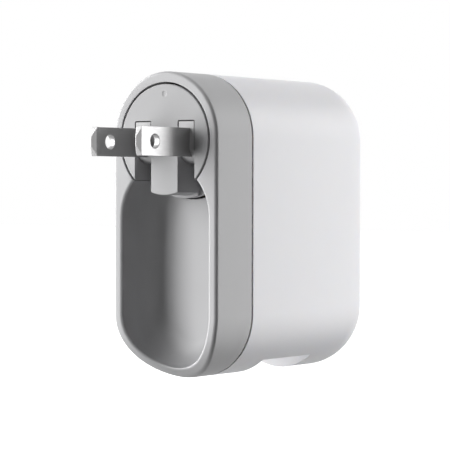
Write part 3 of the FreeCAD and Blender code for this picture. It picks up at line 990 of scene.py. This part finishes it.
@dataclass
class UsbShell:
    """The folded sheet shell of one socket, with two spring fingers in each wide wall."""

    place: str
    fold: float = 0.5 * MM
    wall: float = 0.3 * MM
    window: Span = (1.6 * MM, 3.6 * MM)
    window_rise: Span = (2.2 * MM, 8.0 * MM)
    finger: float = 0.7 * MM
    finger_gap: float = 0.3 * MM
    finger_root: float = 0.2 * MM
    bend: float = 0.45 * MM
    tip: float = 1.2 * MM
    edge: float = 0.05 * MM

    @property
    def node(self) -> str:
        """The CAD node that the shell stands for."""
        return f"usb_shell_{self.place}"

    def folded_shell(self, low: Vector, high: Vector) -> Workpiece:
        """Makes the rounded can, open below.

        Args:
            low: its lowest corner.
            high: its highest corner.

        Returns:
            The can.
        """
        piece = Workpiece.block(f"{self.node}_body", low, high)
        piece.bevel(lambda a, b: (a - b).xy.length < HAIR, self.fold, segments=5)
        with piece.edit():
            piece.pick_faces(lambda centre, normal: normal.z < -0.99)
            bpy.ops.mesh.delete(type="ONLY_FACE")
        piece.apply("SOLIDIFY", thickness=self.wall, offset=-1.0, use_even_offset=True)
        return piece

    def spring(self, middle: float, face: float, inward: int, low: float) -> Workpiece:
        """Makes one finger: rooted above its window, bent in, and turned out at its tip.

        Args:
            middle: its middle across the shell.
            face: the outer face of its wall.
            inward: which way the inside lies, 1 or -1.
            low: the lower end of the shell.

        Returns:
            The finger.
        """
        start = low + self.window_rise[0] + self.finger_gap
        end = low + self.window_rise[1] + self.finger_root
        inner = face + inward * self.wall
        piece = Workpiece.block(
            "finger",
            (middle - self.finger, min(face, inner), start),
            (middle + self.finger, max(face, inner), end),
        )
        knee = start + self.tip
        piece.split(Vector((0.0, 0.0, knee)), Vector((0.0, 0.0, 1.0)))
        piece.move(lambda co: abs(co.z - knee) < HAIR, (0.0, inward * self.bend, 0.0))
        return piece

    def build(self) -> None:
        """Makes and dresses the shell."""
        low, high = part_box(self.node)
        piece = self.folded_shell(low, high)
        middle = (self.window[0] + self.window[1]) / 2
        for side in (-1, 1):
            near, far = sorted(edge * side for edge in self.window)
            piece.cut(
                Workpiece.block(
                    "window",
                    (near, low.y - MM, low.z + self.window_rise[0]),
                    (far, high.y + MM, low.z + self.window_rise[1]),
                )
            )
            for face, inward in ((low.y, 1), (high.y, -1)):
                piece.join(self.spring(side * middle, face, inward, low.z))
        piece.soften(self.edge, segments=1)
        piece.finish(Body.HOUSING, "port_steel", TIN.build(), self.node)


@dataclass(frozen=True)
class Fittings:
    """The sealed parts and the socket insides, which keep their shape and get a finish."""

    finishes: tuple[tuple[MouldedPlastic | Metal | Striped, tuple[str, ...]], ...] = (
        (
            BLACK,
            (
                "usb_tongue_near",
                "usb_tongue_far",
                "contact_block",
                "board_link",
                "transformer_bobbin",
                "bridge_rectifier",
                "switching_controller",
                "optocoupler",
                "output_rectifier",
            ),
        ),
        (BRASS, ("usb_contacts_near", "usb_contacts_far", "left_contact", "right_contact")),
        (SPRING, ("retaining_ring",)),
        (ZINC, ("plug_screws",)),
        (BOARD, ("main_board", "port_board")),
        (FERRITE, ("transformer_core", "choke_core")),
        (COPPER, ("choke_windings",)),
        (TAPE, ("transformer_winding",)),
        (YELLOW, ("line_capacitor",)),
        (SLEEVE, ("bulk_capacitors", "output_capacitors")),
        (CERAMIC, ("safety_capacitor",)),
        (RED, ("mains_fuse",)),
        (FILM, ("insulating_sheet",)),
    )

    def build(self) -> None:
        """Dresses every node that keeps its CAD mesh."""
        for finish, nodes in self.finishes:
            material = finish.build()
            for node in nodes:
                for place in frame["nodes"][node].material_slots:
                    place.material = material
            LOG.info("%s dresses %d nodes", finish.name, len(nodes))


# ---------------------------------------------------------------------------
# Studio
# ---------------------------------------------------------------------------


@dataclass(frozen=True)
class Softbox:
    """A rectangular light: its place, its width and height, and how bright its face is."""

    name: str
    place: Place
    size: Span
    radiance: float


@dataclass
class Studio:
    """The floor, the lights, the world and the camera."""

    azimuth: float = math.radians(37.26)
    elevation: float = math.radians(0.96)
    roll: float = math.radians(0.12)
    place: Place = (280.3 * MM, -346.1 * MM, 7.67 * MM)
    lens: float = 160.0
    sensor: float = 36.0
    floor: float = -95 * MM
    floor_size: float = 8.0
    target: Place = (0.0, 30 * MM, 0.0)
    softboxes: tuple[Softbox, ...] = (
        Softbox("left_front_softbox", (-0.72, -0.95, 0.14), (0.65, 1.9), 5.6),
        Softbox("left_side_softbox", (-1.20, -0.15, 0.15), (0.6, 1.4), 8.0),
        Softbox("right_near_softbox", (0.22, 0.30, 0.012), (0.22, 0.66), 2.8),
        Softbox("right_back_softbox", (0.85, 1.00, 0.10), (0.8, 1.2), 1.3),
        Softbox("top_softbox", (0.20, 0.50, 1.15), (1.0, 0.8), 2.2),
    )

    def camera(self) -> None:
        """Places the camera."""
        a, e = self.azimuth, self.elevation
        ahead = Vector((-math.sin(a) * math.cos(e), math.cos(a) * math.cos(e), -math.sin(e)))
        right = Vector((math.cos(a), math.sin(a), 0.0))
        up = right.cross(ahead)
        turn = Matrix((right, up, -ahead)).transposed() @ Matrix.Rotation(self.roll, 3, "Z")
        data = bpy.data.cameras.new("camera")
        data.lens = self.lens
        data.sensor_width = self.sensor
        data.clip_start = 10 * MM
        camera = bpy.data.objects.new("camera", data)
        camera.matrix_world = Matrix.Translation(self.place) @ turn.to_4x4()
        bpy.context.scene.collection.objects.link(camera)
        bpy.context.scene.camera = camera

    def softbox(self, box: Softbox) -> None:
        """Adds one softbox, aimed at the middle of the charger.

        Args:
            box: the light.
        """
        width, height = box.size
        data = bpy.data.lights.new(box.name, "AREA")
        data.shape = "RECTANGLE"
        data.size, data.size_y = width, height
        data.energy = box.radiance * math.pi * width * height
        light = bpy.data.objects.new(box.name, data)
        light.visible_camera = False
        light.location = box.place
        aim = Vector(self.target) - Vector(box.place)
        light.rotation_euler = aim.to_track_quat("-Z", "Y").to_euler()
        bpy.context.scene.collection.objects.link(light)

    def build(self) -> None:
        """Sets the whole studio up."""
        bpy.ops.object.select_all(action="DESELECT")
        bpy.ops.mesh.primitive_plane_add(size=self.floor_size, location=(0.0, 0.0, self.floor))
        floor = bpy.context.active_object
        floor.name = "floor"
        floor.data.materials.append(self.paper())
        floor.visible_diffuse = False
        floor.visible_glossy = False
        floor.visible_shadow = False
        bpy.context.scene.world = self.room()
        bpy.context.scene.view_settings.view_transform = "Standard"
        self.camera()
        for box in self.softboxes:
            self.softbox(box)

    def paper(self) -> bpy.types.Material:
        """The evenly white paper of the floor.

        Returns:
            The material.
        """
        shader = Shader("floor_white")
        shader.surface.inputs["Base Color"].default_value = (0.9, 0.9, 0.9, 1.0)
        shader.surface.inputs["Roughness"].default_value = 0.9
        shader.surface.inputs["Emission Color"].default_value = (1.0, 1.0, 1.0, 1.0)
        shader.surface.inputs["Emission Strength"].default_value = 1.0
        return shader.material

    def room(self) -> bpy.types.World:
        """A white room, which leaves the lighting to the softboxes.

        Returns:
            The world.
        """
        world = bpy.data.worlds.new("studio")
        world.use_nodes = True
        white = world.node_tree.nodes["Background"].inputs
        white["Color"].default_value = (1.0, 1.0, 1.0, 1.0)
        world.cycles_visibility.diffuse = False
        return world


def main() -> None:
    """Builds every sub-assembly and the studio."""
    logging.basicConfig(level=logging.INFO)
    parts = (
        FrontShell(),
        RearCover(),
        BladeDisc(),
        BladeUnit(),
        UsbShell("near"),
        UsbShell("far"),
        Fittings(),
        Studio(),
    )
    for part in parts:
        part.build()
        LOG.info("%s done", type(part).__name__)


if __name__ == "__main__":
    main()
